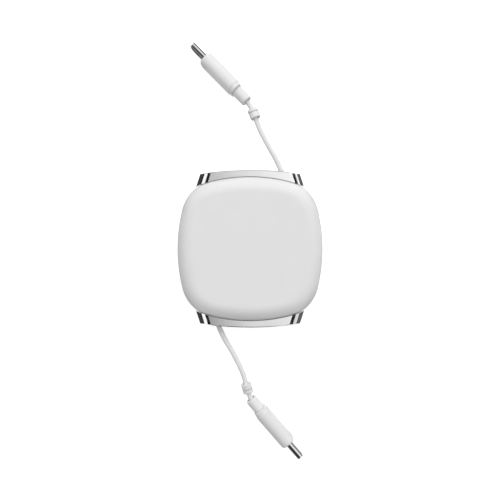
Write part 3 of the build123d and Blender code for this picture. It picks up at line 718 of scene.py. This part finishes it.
strip_tree, strip_sizes = contact_tree()
ENDS = {
    "top": (
        ROUTE_TOP,
        MOUTH_TOP,
        HEADING_TOP,
        STOPPER_FROM_END_TOP,
        BOOT_START_TOP,
        CABLE_LENGTH_TOP,
    ),
    "bottom": (
        ROUTE_BOTTOM,
        MOUTH_BOTTOM,
        HEADING_BOTTOM,
        STOPPER_FROM_END_BOTTOM,
        BOOT_START_BOTTOM,
        CABLE_LENGTH_BOTTOM,
    ),
}

# The spring's tail stays in the axle's slit and its coil turns with the reel.
spring_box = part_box("power_spring")
spring_heights = (spring_box[0].z, spring_box[1].z)
coil_tape = spring_tape("spring_coil", spring_path(), *spring_heights)
coil = add_piece("spring_coil", coil_tape, spring_steel)
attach(coil, "reel")
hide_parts("power_spring")
ahead = Vector((1.0, 0.0))
tail_path = [(SPRING_TAIL_START * ahead, ahead), (SPRING_TAIL_END * ahead, ahead)]
tail_tape = spring_tape("spring_tail", tail_path, *spring_heights)
tail = add_piece("spring_tail", tail_tape, spring_steel)
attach(tail, "case")

for end, (route, mouth, heading, from_end, boot_start, cable_length) in ENDS.items():
    body = "plug_" + end
    place = plug_place(mouth, heading)
    line = route_line("cable_line_" + end, route)
    bead_mesh = stopper_bead("stopper_bead_" + end, line, from_end)
    bead = add_piece("stopper_bead_" + end, bead_mesh, stopper_white)
    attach(bead, body)
    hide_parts("stopper_" + end)
    boot_mesh = plug_boot("relief_boot_" + end, place, boot_start)
    boot = add_piece("relief_boot_" + end, boot_mesh, plug_white)
    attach(boot, body)
    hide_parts("plug_boot_" + end)
    shell_mesh = plug_shell("rolled_shell_" + end, place)
    shell = add_piece("rolled_shell_" + end, shell_mesh, shell_nickel)
    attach(shell, body)
    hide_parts("plug_shell_" + end)
    strip_mesh = contact_rows("contact_strips_" + end, strip_tree, strip_sizes, place)
    strips = add_piece("contact_strips_" + end, strip_mesh, contact_gold)
    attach(strips, body)
    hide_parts("plug_contacts_" + end)
    jacket_mesh = cable_jacket("cable_jacket_" + end, line)
    jacket = add_piece("cable_jacket_" + end, jacket_mesh, cable_white)
    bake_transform(jacket)
    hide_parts("cable_" + end)


def glow_card(name, corners, greys):
    """A studio card that only reflections see, through these greys from its low X to its high X."""
    mesh = bpy.data.meshes.new(name)
    mesh.from_pydata(corners, [], [(0, 1, 2, 3)])
    glow = bpy.data.materials.new(name)
    glow.use_nodes = True
    tree = glow.node_tree
    tree.nodes.clear()
    place = tree.nodes.new("ShaderNodeTexCoord")
    split = tree.nodes.new("ShaderNodeSeparateXYZ")
    span = tree.nodes.new("ShaderNodeMapRange")
    span.inputs["From Min"].default_value = min(corner[0] for corner in corners)
    span.inputs["From Max"].default_value = max(corner[0] for corner in corners)
    ramp = tree.nodes.new("ShaderNodeValToRGB")
    stops = ramp.color_ramp.elements
    stops[0].color = (greys[0], greys[0], greys[0], 1.0)
    stops[1].color = (greys[-1], greys[-1], greys[-1], 1.0)
    for number, grey in enumerate(greys[1:-1], 1):
        stop = stops.new(number / (len(greys) - 1))
        stop.color = (grey, grey, grey, 1.0)
    light = tree.nodes.new("ShaderNodeEmission")
    out = tree.nodes.new("ShaderNodeOutputMaterial")
    tree.links.new(place.outputs["Object"], split.inputs["Vector"])
    tree.links.new(split.outputs["X"], span.inputs["Value"])
    tree.links.new(span.outputs["Result"], ramp.inputs["Fac"])
    tree.links.new(ramp.outputs["Color"], light.inputs["Color"])
    tree.links.new(light.outputs["Emission"], out.inputs["Surface"])
    mesh.materials.append(glow)
    card = bpy.data.objects.new(name, mesh)
    scene.collection.objects.link(card)
    card.visible_camera = False
    card.visible_diffuse = False
    card.visible_transmission = False
    card.visible_volume_scatter = False
    card.visible_shadow = False


def level_card(name, start, end, half_width_start, half_width_end, height, greys):
    """A level card from one (x, y) place to another, with its width along Y at each."""
    corners = [
        (start[0], start[1] - half_width_start, height),
        (end[0], end[1] - half_width_end, height),
        (end[0], end[1] + half_width_end, height),
        (start[0], start[1] + half_width_start, height),
    ]
    glow_card(name, corners, greys)


def upright_card(name, start, end, height, grey):
    """An upright card on the floor between two (x, y) places."""
    corners = [(*start, 0.0), (*end, 0.0), (*end, height), (*start, height)]
    glow_card(name, corners, (grey, grey))


def plug_axes(heading):
    """Level directions along a plug and across it."""
    turn = math.radians(heading)
    along = Vector((math.cos(turn), math.sin(turn), 0.0))
    return along, Vector((-along.y, along.x, 0.0))


def shell_paper(name, mouth, heading, start, side, span, grey):
    """Paper on the table beside a plug, left of its heading where side is 1 and right where it is -1."""
    along, across = plug_axes(heading)
    rear = Vector((mouth[0], mouth[1], PAPER)) + along * start
    front = Vector((mouth[0], mouth[1], PAPER)) + along * PAPER_END
    near = across * side * span[0]
    far = across * side * span[1]
    corners = [tuple(corner) for corner in (rear + near, front + near, front + far, rear + far)]
    glow_card(name, corners, (grey, grey))


def shell_tunnel(name, mouth, heading, side, strips):
    """Cards over a plug's shell, each from its angle off the overhead to the next, and a white end card."""
    along, across = plug_axes(heading)
    rear = Vector((mouth[0], mouth[1], TUNNEL_HEIGHT)) + along * TUNNEL_START
    front = rear + along * TUNNEL_LENGTH
    for number, (strip, following) in enumerate(zip(strips, strips[1:])):
        first, grey = strip
        last = following[0]
        corners = []
        for base, angle in ((rear, first), (front, first), (front, last), (rear, last)):
            turn = math.radians(angle)
            out = across * side * math.sin(turn) + UP * math.cos(turn)
            corners.append(tuple(base + out * TUNNEL))
        glow_card(name + "_" + str(number), corners, (grey, grey))
    sides = [tuple(front + across * reach)[:2] for reach in (-TUNNEL, TUNNEL)]
    upright_card(name + "_end", *sides, 2.0 * TUNNEL, 1.0)


# Level cards: their places from start to end, the half width at each, their height and their greys.
# The sky cards light the necks' faces, the bands draw their rounded ends, the papers lie round the case.
LEVEL_CARDS = [
    ("sky_top", (-0.033, 0.10), (0.033, 0.10), 0.05, 0.05, SKY, (0.48, 0.80, 1.0)),
    ("sky_bottom", (-0.033, -0.10), (0.033, -0.10), 0.05, 0.05, SKY, (0.28, 0.72, 0.84)),
    ("far_top", (-0.045, 0.38), (0.045, 0.38), 0.22, 0.22, SKY, (0.25, 0.60)),
    ("far_bottom", (-0.045, -0.38), (0.045, -0.38), 0.22, 0.22, SKY, (0.01, 0.02)),
    ("left_band_top", (-0.215, 0.170), (-0.036, 0.103), 0.02, 0.02, SKY, (0.01, 0.02)),
    ("left_band_bottom", (-0.21, -0.168), (-0.027, -0.098), 0.02, 0.02, SKY, (0.005, 0.005)),
    ("right_band_top", (0.20, 0.164), (0.75, 0.412), 0.04, 0.08, SKY, (0.01, 0.02, 0.20, 0.40)),
    ("right_band_bottom", (0.068, -0.114), (0.28, -0.195), 0.02, 0.02, SKY, (0.005, 0.01, 0.10)),
    ("right_grey_bottom", (0.282, -0.196), (1.20, -0.546), 0.05, 0.20, SKY, (0.68, 0.74)),
    ("left_paper", (-0.40, 0.0), (-0.0215, 0.0), 0.215, 0.034, PAPER, (0.02, 0.05)),
    ("left_cover_paper", (-0.075, 0.0), (-0.0215, 0.0), 0.020, 0.020, 2.0 * PAPER, (0.45, 0.60)),
    ("right_paper", (0.0215, 0.0), (0.40, 0.0), 0.034, 0.215, PAPER, (0.12, 0.08)),
    ("right_cover_paper", (0.0215, 0.0), (0.075, 0.0), 0.020, 0.020, 2.0 * PAPER, (1.0, 0.9)),
    ("top_paper", (-0.0215, 0.068), (0.0215, 0.068), 0.044, 0.044, PAPER, (0.50, 0.60)),
    ("bottom_paper", (-0.0215, -0.036), (0.0215, -0.036), 0.012, 0.012, PAPER, (0.08, 0.08)),
]
for card in LEVEL_CARDS:
    level_card(*card)

# Walls far round the case: their ends, height and grey.
WALL_CARDS = [
    ("left_wall", (-0.40, -0.35), (-0.40, 0.35), 0.13, 0.015),
    ("right_wall", (0.40, -0.35), (0.40, -0.10), 0.07, 0.05),
    ("top_wall", (-0.20, 0.60), (0.20, 0.60), 0.34, 0.50),
    ("bottom_wall", (-0.20, -0.60), (0.20, -0.60), 0.34, 0.02),
]
for card in WALL_CARDS:
    upright_card(*card)

# Round each plug's shell: papers beside it, white close to the side that turns from the camera, and a
# tunnel of strips over it, whose greys draw the lines along the shell.
top_plug = (MOUTH_TOP, HEADING_TOP)
bottom_plug = (MOUTH_BOTTOM, HEADING_BOTTOM)
beside_plug = (PAPER_EDGE, TUNNEL)
close_to_top = (PAPER_EDGE, WHITE_EDGE_TOP)
close_to_bottom = (PAPER_EDGE, WHITE_EDGE_BOTTOM)
off_top = (WHITE_EDGE_TOP, TUNNEL)
off_bottom = (WHITE_EDGE_BOTTOM, TUNNEL)
shell_paper("top_shell_white_left", *top_plug, PAPER_START, 1.0, close_to_top, 1.2)
shell_paper("top_shell_paper_left", *top_plug, PAPER_START, 1.0, off_top, 0.0)
shell_paper("top_shell_paper_right", *top_plug, PAPER_START, -1.0, beside_plug, 0.12)
shell_paper("bottom_shell_paper_left", *bottom_plug, 0.0, -1.0, beside_plug, 0.05)
shell_paper("bottom_shell_white_right", *bottom_plug, PAPER_START, 1.0, close_to_bottom, 1.2)
shell_paper("bottom_shell_paper_right", *bottom_plug, PAPER_START, 1.0, off_bottom, 0.26)
TOP_STRIPS = [(-97, 0.50), (-62, 0.0), (-16, 0.16), (4, 0.60), (20, 1.1), (59, 0.0), (97, 0.0)]
BOTTOM_STRIPS = [
    (-97, 0.10),
    (-84, 0.04),
    (-14, 0.14),
    (0, 0.55),
    (12, 1.0),
    (57, 0.50),
    (69, 0.28),
    (97, 0.0),
]
shell_tunnel("top_shell_card", *top_plug, -1.0, TOP_STRIPS)
shell_tunnel("bottom_shell_card", *bottom_plug, 1.0, BOTTOM_STRIPS)


def ray_switch(tree):
    """1 for rays from the camera, reflections and refractions, otherwise 0."""
    path = tree.nodes.new("ShaderNodeLightPath")
    first = tree.nodes.new("ShaderNodeMath")
    first.operation = "MAXIMUM"
    second = tree.nodes.new("ShaderNodeMath")
    second.operation = "MAXIMUM"
    tree.links.new(path.outputs["Is Camera Ray"], first.inputs[0])
    tree.links.new(path.outputs["Is Glossy Ray"], first.inputs[1])
    tree.links.new(first.outputs["Value"], second.inputs[0])
    tree.links.new(path.outputs["Is Transmission Ray"], second.inputs[1])
    return second.outputs["Value"]


def pale_floor():
    """White table top that keeps a faint shadow."""
    reach = FLOOR_REACH
    corners = [(-reach, -reach), (reach, -reach), (reach, reach), (-reach, reach)]
    mesh = bpy.data.meshes.new("floor")
    mesh.from_pydata([(*corner, FLOOR_LEVEL) for corner in corners], [], [(0, 1, 2, 3)])
    paint = bpy.data.materials.new("floor_white")
    paint.use_nodes = True
    tree = paint.node_tree
    tree.nodes.clear()
    matt = tree.nodes.new("ShaderNodeBsdfDiffuse")
    matt.inputs["Color"].default_value = (FLOOR_GREY, FLOOR_GREY, FLOOR_GREY, 1.0)
    glow = tree.nodes.new("ShaderNodeEmission")
    strength = tree.nodes.new("ShaderNodeMath")
    strength.operation = "MULTIPLY"
    strength.inputs[1].default_value = FLOOR_GLOW
    total = tree.nodes.new("ShaderNodeAddShader")
    out = tree.nodes.new("ShaderNodeOutputMaterial")
    tree.links.new(ray_switch(tree), strength.inputs[0])
    tree.links.new(strength.outputs["Value"], glow.inputs["Strength"])
    tree.links.new(matt.outputs["BSDF"], total.inputs[0])
    tree.links.new(glow.outputs["Emission"], total.inputs[1])
    tree.links.new(total.outputs["Shader"], out.inputs["Surface"])
    mesh.materials.append(paint)
    floor = bpy.data.objects.new("floor", mesh)
    scene.collection.objects.link(floor)


def white_surround(ambient):
    """World that is white to the eye and lights the object with that ambient level."""
    surround = bpy.data.worlds.new("surround")
    scene.world = surround
    surround.use_nodes = True
    tree = surround.node_tree
    sky = tree.nodes["Background"]
    sky.inputs["Color"].default_value = (1.0, 1.0, 1.0, 1.0)
    level = tree.nodes.new("ShaderNodeMapRange")
    level.inputs["To Min"].default_value = ambient
    level.inputs["To Max"].default_value = 1.0
    tree.links.new(ray_switch(tree), level.inputs["Value"])
    tree.links.new(level.outputs["Result"], sky.inputs["Strength"])


def soft_lamp(name, direction, distance, size, power):
    """One large soft lamp that shines at the case."""
    lamp = bpy.data.lights.new(name, "AREA")
    lamp.shape = "SQUARE"
    lamp.size = size
    lamp.energy = power
    holder = bpy.data.objects.new(name, lamp)
    towards = Vector(direction).normalized()
    holder.location = towards * distance
    holder.rotation_euler = towards.to_track_quat("Z", "Y").to_euler()
    holder.visible_glossy = False
    scene.collection.objects.link(holder)


pale_floor()
white_surround(AMBIENT)
soft_lamp("window_lamp", (0.16, 0.70, 0.69), distance=2.0, size=1.6, power=28.0)
soft_lamp("ceiling_lamp", (0.0, 0.0, 1.0), distance=2.0, size=1.2, power=4.0)

camera = bpy.data.cameras.new("camera")
camera.lens = CAMERA_LENS
camera.sensor_width = CAMERA_SENSOR
camera.clip_start = CAMERA_CLIP
camera_holder = bpy.data.objects.new("camera", camera)
camera_holder.location = CAMERA_PLACE
scene.collection.objects.link(camera_holder)
scene.camera = camera_holder
scene.view_settings.view_transform = "Standard"
